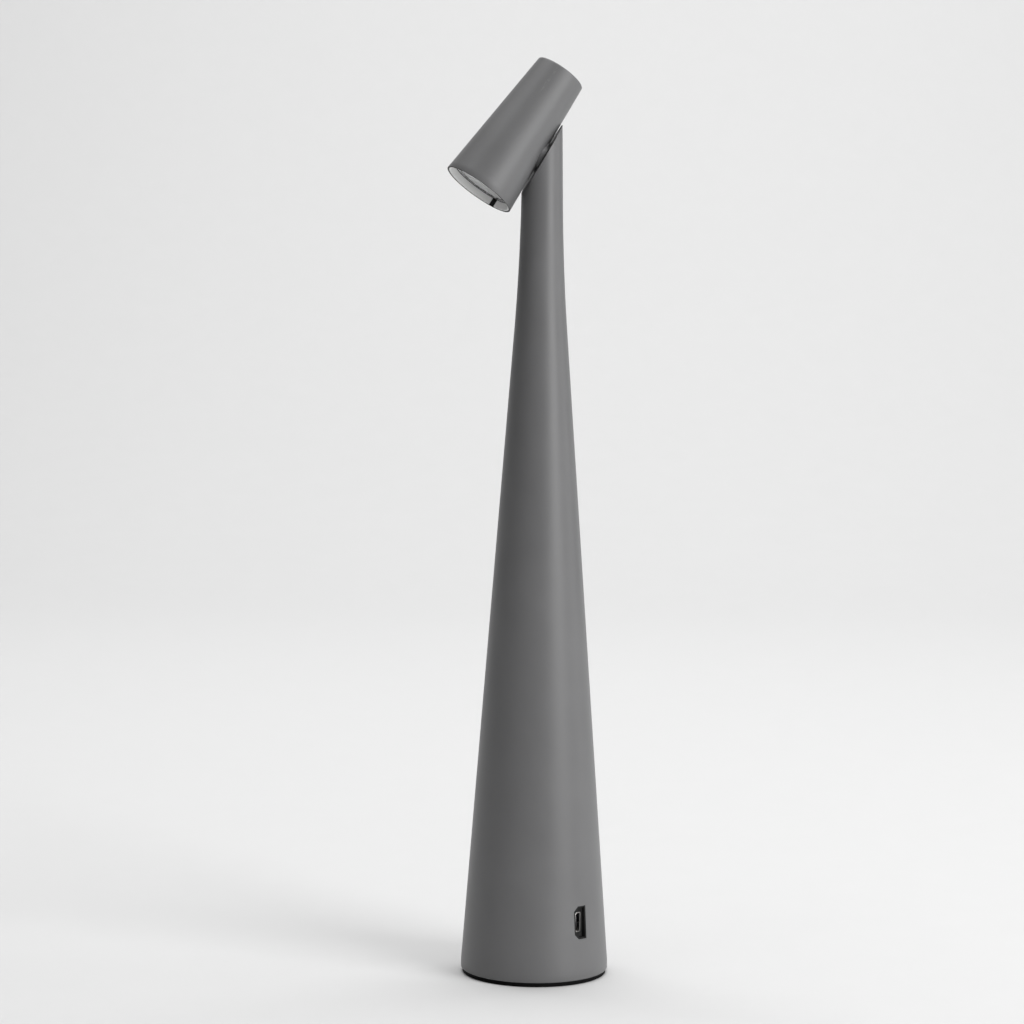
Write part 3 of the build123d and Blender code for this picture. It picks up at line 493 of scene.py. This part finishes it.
# ---------------------------------------------------------------------------
# Electronics: woven glass laminate boards under green lacquer, with moulded
# chips, a ferrite coil, a nylon socket and tinned pads.
# ---------------------------------------------------------------------------
def laminate_material(name, under, lacquer, weave=2400.0):
    """Board laminate: a glass weave that shows faintly through its coloured lacquer."""
    material = finish_material(name, under, lacquer, (0.25, 0.38), grain=1800.0, bump=0.000005)
    tree = material.node_tree
    shader = tree.nodes["Principled BSDF"]
    place = tree.nodes.new("ShaderNodeTexCoord")
    warp = tree.nodes.new("ShaderNodeTexWave")
    warp.bands_direction = "X"
    weft = tree.nodes.new("ShaderNodeTexWave")
    weft.bands_direction = "Y"
    for band in (warp, weft):
        band.inputs["Scale"].default_value = weave / 20
        link(tree, place.outputs["Object"], band.inputs["Vector"])
    cross = tree.nodes.new("ShaderNodeMath")
    cross.operation = "MULTIPLY"
    relief = tree.nodes.new("ShaderNodeBump")
    relief.inputs["Distance"].default_value = 0.00002
    relief.inputs["Strength"].default_value = 0.7
    link(tree, warp.outputs["Fac"], cross.inputs[0])
    link(tree, weft.outputs["Fac"], cross.inputs[1])
    link(tree, cross.outputs[0], relief.inputs["Height"])
    link(tree, shader.inputs["Normal"].links[0].from_socket, relief.inputs["Normal"])
    link(tree, relief.outputs["Normal"], shader.inputs["Normal"])
    shader.inputs["Coat Weight"].default_value = 0.4
    shader.inputs["Coat Roughness"].default_value = 0.15
    return material


board_laminate = laminate_material("board_laminate", (0.004, 0.05, 0.018), (0.01, 0.09, 0.035))
chip_black = finish_material(
    "chip_black", (0.01, 0.01, 0.011), (0.02, 0.02, 0.022), (0.45, 0.6), grain=4200.0, bump=0.00001
)
ferrite = finish_material(
    "ferrite", (0.03, 0.028, 0.028), (0.06, 0.056, 0.054), (0.5, 0.7), grain=2600.0, bump=0.00003
)
socket_plastic = finish_material(
    "socket_plastic", (0.6, 0.58, 0.52), (0.72, 0.7, 0.65), (0.3, 0.45),
    bump=0.000008, subsurface_weight=0.1, subsurface_scale=0.001,
)
dress_cad(board_laminate, "control_board", "charge_board")
dress_cad(chip_black, "driver_chips", "usb_tongue")
dress_cad(ferrite, "inductor")
dress_cad(socket_plastic, "lead_socket")


# ---------------------------------------------------------------------------
# Charging port: a moulded black plastic insert with two cut corners, clipped
# into the shell, round a folded and nickel plated steel socket.
# ---------------------------------------------------------------------------
def softened_copy(node, name, width, segments=2, angle=30.0):
    """Copy of a CAD node with its edges broken by a fine round, as moulding leaves them."""
    mesh = frame["nodes"][node].data.copy()
    mesh.name = name
    form = bmesh.new()
    form.from_mesh(mesh)
    bmesh.ops.remove_doubles(form, verts=form.verts, dist=0.000002)
    bmesh.ops.dissolve_limit(form, angle_limit=radians(0.5), verts=form.verts, edges=form.edges)
    form.to_mesh(mesh)
    form.free()
    copy = bpy.data.objects.new(name, mesh)
    scene.collection.objects.link(copy)
    rounding = copy.modifiers.new("edges", "BEVEL")
    rounding.width = width
    rounding.segments = segments
    rounding.limit_method = "ANGLE"
    rounding.angle_limit = radians(angle)
    rounding.harden_normals = False
    settled = settle(copy, rounding)
    settled.polygons.foreach_set("use_smooth", [True] * len(settled.polygons))
    settled.set_sharp_from_angle(angle=radians(35))
    return copy


port_black = finish_material(
    "port_black", (0.004, 0.004, 0.004), (0.009, 0.009, 0.009), (0.5, 0.62), bump=0.000008,
    rubbed=(0.05, 0.05, 0.05), specular_ior_level=0.25,
)
port_frame = softened_copy("port_insert", "port_frame", 0.00008)
dress(port_frame, port_black)
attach(port_frame, "column")
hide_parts("port_insert")

socket_steel = finish_material(
    "socket_steel", (0.4, 0.39, 0.38), (0.55, 0.54, 0.52), (0.2, 0.34), metallic=1.0,
    grain=6000.0, bump=0.000003,
)
socket_shroud = softened_copy("usb_socket", "socket_shroud", 0.00005)
dress(socket_shroud, socket_steel)
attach(socket_shroud, "column")
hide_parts("usb_socket")


# ---------------------------------------------------------------------------
# Leads: fine silicone covered wires from battery, port and board, up the
# column and through the swivel to the light.
# ---------------------------------------------------------------------------
lead_jacket = finish_material(
    "lead_jacket", (0.035, 0.035, 0.036), (0.06, 0.06, 0.06), (0.4, 0.55),
    grain=3000.0, bump=0.00001,
)
dress_cad(lead_jacket, "column_lead", "charge_lead", "return_lead", "head_lead")


# ---------------------------------------------------------------------------
# Swivel: a stud with a coated collar turns in a slanted plate on a slippery
# plastic washer. Spring washer, stop washer and nut hold it inside the neck.
# ---------------------------------------------------------------------------
bearing_plastic = finish_material(
    "bearing_plastic", (0.045, 0.045, 0.046), (0.07, 0.07, 0.07), (0.3, 0.42), bump=0.000006
)
collar_coat = finish_material(
    "collar_coat", (0.06, 0.06, 0.062), (0.085, 0.085, 0.087), (0.4, 0.5), bump=0.000006
)
bare_aluminium = turned_material(
    "bare_aluminium", (0.62, 0.62, 0.63), (0.78, 0.78, 0.79), (0.24, 0.38)
)
dress_cad(hardware_steel, "stop_pin", "stop_washer", "spring_washer", "lock_nut")
dress_cad(bearing_plastic, "bearing_washer")
dress_cad(collar_coat, "swivel_stud")
dress_cad(bare_aluminium, "pivot_block")


# ---------------------------------------------------------------------------
# Head shell: a short cone drawn from aluminium, closed flat at the back, open
# at the front with a thin lip. Coated outside, black primer inside. The inside black
# also paints the shade seen through the trim ring's gap and behind the lip; the rim's
# front edge is painted black as painted shade for a coated edge that faces down.
# ---------------------------------------------------------------------------
head_radius = 0.0124
head_taper = 4.5
head_half_angle = radians(head_taper)
head_rear = -0.0305
head_front = 0.0244
head_wall = 0.0012
lip_wall = 0.0006
rear_round = 0.0005
rim_round = 0.0002
lens_depth = 0.00525
lens_seat = head_front - lens_depth
head_gap = 0.00045
rest_turn = radians(6.1)

downhill = Vector((-slant_normal.z, 0, slant_normal.x))
head_run = downhill * cos(rest_turn) + slant_normal.cross(downhill) * sin(rest_turn)
head_along = head_run * cos(head_half_angle) + slant_normal * sin(head_half_angle)
to_neck = head_run * sin(head_half_angle) - slant_normal * cos(head_half_angle)
head_side = head_along.cross(to_neck)
head_centre = slant_centre + slant_normal * head_gap - to_neck * head_radius
head_plane = Matrix(
    (
        (to_neck.x, head_side.x, head_along.x, head_centre.x),
        (to_neck.y, head_side.y, head_along.y, head_centre.y),
        (to_neck.z, head_side.z, head_along.z, head_centre.z),
        (0, 0, 0, 1),
    )
)


def head_radius_at(reach):
    """Outer radius of the head's cone at a distance in front of the swivel."""
    return head_radius + reach * tan(head_half_angle)


def lathe(name, section, plane, sides):
    """Solid of revolution of a section about a plane's normal. Points on the axis become poles."""
    points = []
    rows = []
    for radius, reach in section:
        if radius < 1e-9:
            rows.append([len(points)] * sides)
            points.append(plane @ Vector((0, 0, reach)))
            continue
        rows.append([len(points) + side for side in range(sides)])
        for side in range(sides):
            angle = 2 * pi * side / sides
            points.append(plane @ Vector((radius * cos(angle), radius * sin(angle), reach)))
    faces = []
    closed = section[0][0] > 1e-9 or section[-1][0] > 1e-9
    pairs = list(zip(rows, rows[1:])) + ([(rows[-1], rows[0])] if closed else [])
    for low, high in pairs:
        for side in range(sides):
            following = (side + 1) % sides
            corners = [low[side], low[following], high[following], high[side]]
            kept = [corner for index, corner in enumerate(corners) if corner not in corners[:index]]
            if len(kept) > 2:
                faces.append(tuple(kept))
    made = mesh_from(name, points, faces)
    form = bmesh.new()
    form.from_mesh(made.data)
    bmesh.ops.recalc_face_normals(form, faces=form.faces)
    form.to_mesh(made.data)
    form.free()
    return made


rear_radius = head_radius_at(head_rear)
front_radius = head_radius_at(head_front)
head_section = [(0, head_rear)]
head_section += [((rear_radius - rear_round) * step / 4, head_rear) for step in range(1, 4)]
rear_centre = head_radius_at(head_rear + rear_round) - rear_round / cos(head_half_angle)
head_section += arc_points(rear_centre, head_rear + rear_round, rear_round, -90, -head_taper, 6)
wall_start = head_section[-1][1] + 0.0004
wall_end = head_front - rim_round
wall_levels = [wall_start + (wall_end - wall_start) * row / 24 for row in range(25)]
head_section += [(head_radius_at(level), level) for level in wall_levels]
head_section += [(front_radius - rim_round * 0.3, head_front - rim_round * 0.3)]
head_section += [(front_radius - rim_round, head_front)]
head_section += [
    (front_radius - lip_wall, head_front),
    (head_radius_at(lens_seat) - lip_wall, lens_seat),
    (head_radius_at(lens_seat) - head_wall, lens_seat),
]
inner_rear = head_rear + head_wall
head_section += [
    (head_radius_at(inner_rear + 0.001) - head_wall, inner_rear + 0.001),
    (head_radius_at(inner_rear) - head_wall - 0.001, inner_rear),
    (0, inner_rear),
]
head_skin = lathe("head_skin", head_section, head_plane, 224)
# Black for the head: black primer on the inside wall, also standing in as painted shade seen
# through the ring's gap and behind the lip; on the coated rim's front edge it is painted shade
# only.
black_primer_and_painted_shade = finish_material(
    "black_primer_and_painted_shade", (0.005, 0.005, 0.005), (0.012, 0.012, 0.012), (0.5, 0.65), bump=0.00001,
    rubbed=(0.03, 0.03, 0.03), specular_ior_level=0.2,
)
dress(head_skin, grey_coat)
head_skin.data.materials.append(black_primer_and_painted_shade)
inverse_plane = head_plane.inverted()
for face in head_skin.data.polygons:
    middle = inverse_plane @ face.center
    radius = sqrt(middle.x ** 2 + middle.y ** 2)
    inside_wall = radius < head_radius_at(middle.z) - lip_wall * 0.9
    behind_rear = middle.z <= head_rear + rear_round
    # The rim's front faces get the black too: painted shade for a coated edge that faces down, not
    # a black finish.
    on_rim = middle.z > head_front - rim_round * 0.5
    face.material_index = 1 if (inside_wall and not behind_rear) or on_rim else 0
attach(head_skin, "head")
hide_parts("head_shell")


# ---------------------------------------------------------------------------
# Light: a white board with one warm chip, screwed to a finned heat sink, under
# a moulded reflector whose inside is metallised.
# ---------------------------------------------------------------------------
sink_aluminium = finish_material(
    "sink_aluminium", (0.5, 0.5, 0.51), (0.62, 0.62, 0.63), (0.34, 0.48), metallic=1.0,
    grain=4000.0, bump=0.000006,
)
led_board_white = finish_material(
    "led_board_white", (0.72, 0.72, 0.7), (0.8, 0.8, 0.79), (0.3, 0.42), bump=0.000004
)
phosphor = finish_material(
    "phosphor", (0.8, 0.52, 0.06), (0.88, 0.62, 0.12), (0.35, 0.5), grain=6000.0, bump=0.000008,
    subsurface_weight=0.2, subsurface_scale=0.0005,
)
reflector_coating = finish_material(
    "reflector_coating", (0.82, 0.82, 0.83), (0.9, 0.9, 0.9), (0.08, 0.16), metallic=1.0,
    grain=900.0, bump=0.00001,
)
gasket_rubber = finish_material(
    "gasket_rubber", (0.012, 0.012, 0.012), (0.025, 0.025, 0.025), (0.6, 0.75), bump=0.00002
)
dress_cad(sink_aluminium, "heat_sink")
dress_cad(hardware_steel, "heat_sink_screws", "led_screws")
dress_cad(led_board_white, "led_board")
dress_cad(phosphor, "led_chip")
dress_cad(reflector_coating, "reflector")
dress_cad(gasket_rubber, "lens_gasket")


# ---------------------------------------------------------------------------
# Lens: a frosted moulded plastic disc with fine rings, its face set back inside
# a raised border of small clear prisms that spreads the edge of the beam.
# ---------------------------------------------------------------------------
lens_back = lens_seat + 0.0003
lens_front = lens_back + 0.0021
lens_radius = head_radius_at(lens_seat) - lip_wall - 0.00005
lens_face_radius = 0.0105
lens_recess = 0.0003
prism_count = 84
prism_height = 0.00026
prism_floor = lens_front - prism_height
lens_section = [
    (0, lens_back),
    (lens_face_radius, lens_back),
    (lens_radius - 0.0001, lens_back),
    (lens_radius, lens_back + 0.0001),
    (lens_radius, prism_floor - 0.0001),
    (lens_radius - 0.0001, prism_floor),
    (lens_face_radius + 0.00005, prism_floor),
    (lens_face_radius, prism_floor - 0.00003),
]
ring_count = 34
face_level = lens_front - lens_recess
for ring in range(ring_count):
    outer = lens_face_radius * (ring_count - ring) / ring_count - 0.00005
    lens_section.append((outer, face_level - 0.00012))
    lens_section.append((outer - 0.00022, face_level - 0.00004))
lens_section.append((0, face_level - 0.00012))
lens_disc = lathe("lens_disc", lens_section, head_plane, 160)


def prism_ring(name, radius, width, height, count, floor, plane, material):
    """Raised prisms set side by side round a circle, made with geometry nodes."""
    tree = bpy.data.node_groups.new(name, "GeometryNodeTree")
    tree.interface.new_socket(name="Geometry", in_out="OUTPUT", socket_type="NodeSocketGeometry")
    for label, kind in (
        ("Radius", "NodeSocketFloat"),
        ("Length", "NodeSocketFloat"),
        ("Height", "NodeSocketFloat"),
        ("Count", "NodeSocketInt"),
    ):
        tree.interface.new_socket(name=label, in_out="INPUT", socket_type=kind)
    nodes = tree.nodes
    given = nodes.new("NodeGroupInput")
    out = nodes.new("NodeGroupOutput")
    path = nodes.new("GeometryNodeCurvePrimitiveCircle")
    path.mode = "RADIUS"
    to_points = nodes.new("GeometryNodeCurveToPoints")
    to_points.mode = "COUNT"
    prism_form = nodes.new("GeometryNodeMeshCone")
    prism_form.fill_type = "NGON"
    prism_form.inputs["Vertices"].default_value = 4
    stretch = nodes.new("GeometryNodeTransform")
    turn_in = nodes.new("GeometryNodeTransform")
    turn_in.inputs["Rotation"].default_value = (0, 0, pi / 4)
    sizes = nodes.new("ShaderNodeCombineXYZ")
    around = nodes.new("ShaderNodeMath")
    around.operation = "DIVIDE"
    round_length = nodes.new("ShaderNodeMath")
    round_length.operation = "MULTIPLY"
    round_length.inputs[1].default_value = 2 * pi * 0.96
    instance = nodes.new("GeometryNodeInstanceOnPoints")
    turned = nodes.new("GeometryNodeInputPosition")
    angle = nodes.new("ShaderNodeMath")
    angle.operation = "ARCTAN2"
    split = nodes.new("ShaderNodeSeparateXYZ")
    facing = nodes.new("ShaderNodeCombineXYZ")
    real = nodes.new("GeometryNodeRealizeInstances")
    paint = nodes.new("GeometryNodeSetMaterial")
    paint.inputs["Material"].default_value = material
    link(tree, given.outputs["Radius"], path.inputs["Radius"])
    link(tree, given.outputs["Count"], to_points.inputs["Count"])
    link(tree, path.outputs["Curve"], to_points.inputs["Curve"])
    link(tree, given.outputs["Height"], prism_form.inputs["Depth"])
    prism_form.inputs["Radius Bottom"].default_value = sqrt(0.5)
    prism_form.inputs["Radius Top"].default_value = sqrt(0.5) * 0.3
    link(tree, prism_form.outputs["Mesh"], turn_in.inputs["Geometry"])
    link(tree, turn_in.outputs["Geometry"], stretch.inputs["Geometry"])
    link(tree, given.outputs["Length"], sizes.inputs["X"])
    link(tree, given.outputs["Radius"], round_length.inputs[0])
    link(tree, round_length.outputs[0], around.inputs[0])
    link(tree, given.outputs["Count"], around.inputs[1])
    link(tree, around.outputs[0], sizes.inputs["Y"])
    sizes.inputs["Z"].default_value = 1.0
    link(tree, sizes.outputs["Vector"], stretch.inputs["Scale"])
    link(tree, to_points.outputs["Points"], instance.inputs["Points"])
    link(tree, stretch.outputs["Geometry"], instance.inputs["Instance"])
    link(tree, turned.outputs["Position"], split.inputs["Vector"])
    link(tree, split.outputs["Y"], angle.inputs[0])
    link(tree, split.outputs["X"], angle.inputs[1])
    link(tree, angle.outputs[0], facing.inputs["Z"])
    link(tree, facing.outputs["Vector"], instance.inputs["Rotation"])
    link(tree, instance.outputs["Instances"], real.inputs["Geometry"])
    link(tree, real.outputs["Geometry"], paint.inputs["Geometry"])
    link(tree, paint.outputs["Geometry"], out.inputs["Geometry"])

    holder = bpy.data.objects.new(name, bpy.data.meshes.new(name))
    scene.collection.objects.link(holder)
    ring = holder.modifiers.new("ring", "NODES")
    ring.node_group = tree
    values = {"Radius": radius, "Length": width, "Height": height, "Count": count}
    for socket in tree.interface.items_tree:
        if socket.item_type == "SOCKET" and socket.in_out == "INPUT":
            ring[socket.identifier] = values[socket.name]
    settled = settle(holder, ring)
    settled.transform(plane @ Matrix.Translation((0, 0, floor)))
    form = bmesh.new()
    form.from_mesh(settled)
    bmesh.ops.recalc_face_normals(form, faces=form.faces)
    form.to_mesh(settled)
    form.free()
    settled.polygons.foreach_set("use_smooth", [False] * len(settled.polygons))
    return holder


def clear_material(name, tint, rough_low, rough_high, bump, clearness=1.0):
    """Moulded lens plastic: see-through as far as clearness says, with flow marks and haze."""
    material = finish_material(
        name, tint, [min(1.0, value * 1.03) for value in tint], (rough_low, rough_high),
        grain=1500.0, bump=bump, rub_amount=0.0,
    )
    shader = material.node_tree.nodes["Principled BSDF"]
    shader.inputs["Transmission Weight"].default_value = clearness
    shader.inputs["IOR"].default_value = 1.49
    return material


clear_lens = clear_material("clear_lens", (0.93, 0.935, 0.94), 0.06, 0.14, 0.000004)
frosted_lens = clear_material("frosted_lens", (0.8, 0.8, 0.8), 0.2, 0.34, 0.000004, 0.4)
dress(lens_disc, frosted_lens)
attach(lens_disc, "head")
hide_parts("lens")

prism_middle = (lens_face_radius + lens_radius - 0.0002) / 2
prism_length = lens_radius - 0.0003 - lens_face_radius
lens_prisms = prism_ring(
    "lens_prisms", prism_middle, prism_length, prism_height, prism_count, prism_floor,
    head_plane, clear_lens,
)
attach(lens_prisms, "head")


# ---------------------------------------------------------------------------
# Trim ring: a thin pale plastic ring pressed into the lip to keep the lens. A
# gap lets it be squeezed small enough to go in.
# ---------------------------------------------------------------------------
ring_low = lens_front
ring_high = head_front - 0.00015
ring_wall = 0.00055
ring_fit = lip_wall + 0.00005
ring_inside = ring_fit + ring_wall
ring_edge = 0.00012
gap_width = 0.003
gap_angle = radians(307)
ring_section = [
    (head_radius_at(ring_low) - ring_fit, ring_low),
    (head_radius_at(ring_high - ring_edge) - ring_fit, ring_high - ring_edge),
    (head_radius_at(ring_high) - ring_fit - ring_edge * 0.3, ring_high - ring_edge * 0.3),
    (head_radius_at(ring_high) - ring_fit - ring_edge, ring_high),
    (head_radius_at(ring_high) - ring_inside + ring_edge, ring_high),
    (head_radius_at(ring_high) - ring_inside + ring_edge * 0.3, ring_high - ring_edge * 0.3),
    (head_radius_at(ring_high - ring_edge) - ring_inside, ring_high - ring_edge),
    (head_radius_at(ring_low) - ring_inside, ring_low),
]
lens_ring = lathe("lens_ring", ring_section, head_plane, 200)
gap_turn = head_plane @ Matrix.Rotation(gap_angle, 4, "Z")
gap_outline = [
    (head_radius * 0.8, -gap_width * 0.32),
    (head_radius * 1.3, -gap_width * 0.5),
    (head_radius * 1.3, gap_width * 0.5),
    (head_radius * 0.8, gap_width * 0.32),
]
gap_cutter = prism("gap_cutter", gap_outline, gap_turn, ring_low - 0.001, ring_high + 0.001)
cut_away(lens_ring, gap_cutter)
pale_ring = finish_material(
    "pale_ring", (0.84, 0.84, 0.83), (0.9, 0.9, 0.89), (0.3, 0.42), grain=3000.0, bump=0.00001,
    rubbed=(0.92, 0.92, 0.91),
)
dress(lens_ring, pale_ring)
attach(lens_ring, "head")
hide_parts("trim_ring")


# ---------------------------------------------------------------------------
# Studio: a pale paper sweep for floor and wall, a tall softbox and a small low
# one on the lamp's right, one above it, and a wash up the wall behind. The lamp
# stands turned a little towards the viewer, so the studio is turned the other way.
# ---------------------------------------------------------------------------
studio_turn = Matrix.Rotation(radians(-7), 4, "Z")
sweep_half_width = 3.2
bend_start = 1.3
bend_radius = 1.2
wall_top = 3.4
sweep_line = [(-2.6, 0.0), (-0.6, 0.0), (0.6, 0.0), (bend_start, 0.0)]
for turned in range(5, 91, 5):
    bend = radians(turned)
    sweep_line.append((bend_start + bend_radius * sin(bend), bend_radius - bend_radius * cos(bend)))
sweep_line.append((bend_start + bend_radius, wall_top))
sweep_points = [
    studio_turn @ Vector((side * sweep_half_width, y, z)) for y, z in sweep_line for side in (-1, 1)
]
sweep_faces = [
    (2 * row, 2 * row + 1, 2 * row + 3, 2 * row + 2) for row in range(len(sweep_line) - 1)
]
paper_sweep = mesh_from("paper_sweep", sweep_points, sweep_faces, 60)
dress(
    paper_sweep,
    finish_material(
        "sweep_paper", (0.6, 0.6, 0.6), (0.62, 0.62, 0.62), (0.8, 0.9),
        grain=300.0, bump=0.00002, rub_amount=0.0,
    ),
)


def softbox(name, place, target, width, height, power):
    """Rectangular soft light that faces a point."""
    lamp = bpy.data.lights.new(name, "AREA")
    lamp.shape = "RECTANGLE"
    lamp.size = width
    lamp.size_y = height
    lamp.energy = power
    box = bpy.data.objects.new(name, lamp)
    aim = Vector(target) - Vector(place)
    facing = aim.to_track_quat("-Z", "Y").to_matrix().to_4x4()
    box.matrix_world = studio_turn @ Matrix.Translation(place) @ facing
    box.visible_camera = False
    scene.collection.objects.link(box)
    return box


softbox("right_softbox", (1.05, -0.85, 0.75), (0, 0, 0.2), 0.8, 1.5, 19)
softbox("low_softbox", (1.3, 0.15, 0.3), (0, 0, 0.2), 0.5, 0.9, 2.5)
softbox("top_softbox", (-0.1, 0.0, 1.7), (0, 0, 0), 1.2, 1.2, 17)
softbox("wall_wash", (0.3, 0.9, 2.4), (0.3, 2.5, 0.5), 3.0, 0.6, 60)

world = bpy.data.worlds.new("studio_air")
world.use_nodes = True
world.node_tree.nodes["Background"].inputs["Color"].default_value = (1, 1, 1, 1)
world.node_tree.nodes["Background"].inputs["Strength"].default_value = 0.12
scene.world = world
scene.view_settings.view_transform = "Standard"


# ---------------------------------------------------------------------------
# Camera: level with the lamp's upper half, about a metre off, tipped a little
# down and rolled by half a degree.
# ---------------------------------------------------------------------------
camera_spot = (-0.01023, -1.0668, 0.2535)
focal_length = 98.44
camera_tip = radians(4.078)
camera_roll = radians(0.574)
view_right = Vector((1, 0, 0))
view_ahead = Vector((0, cos(camera_tip), -sin(camera_tip)))
view_up = view_right.cross(view_ahead)
rolled_right = view_right * cos(camera_roll) + view_up * sin(camera_roll)
rolled_up = view_up * cos(camera_roll) - view_right * sin(camera_roll)
lens_data = bpy.data.cameras.new("studio_camera")
lens_data.lens = focal_length
lens_data.sensor_width = 36.0
lens_data.clip_start = 0.01
studio_camera = bpy.data.objects.new("studio_camera", lens_data)
turn_rows = Matrix((rolled_right, rolled_up, -view_ahead)).transposed()
camera_place = Matrix.Translation(camera_spot)
studio_camera.matrix_world = studio_turn @ camera_place @ turn_rows.to_4x4()
scene.collection.objects.link(studio_camera)
scene.camera = studio_camera
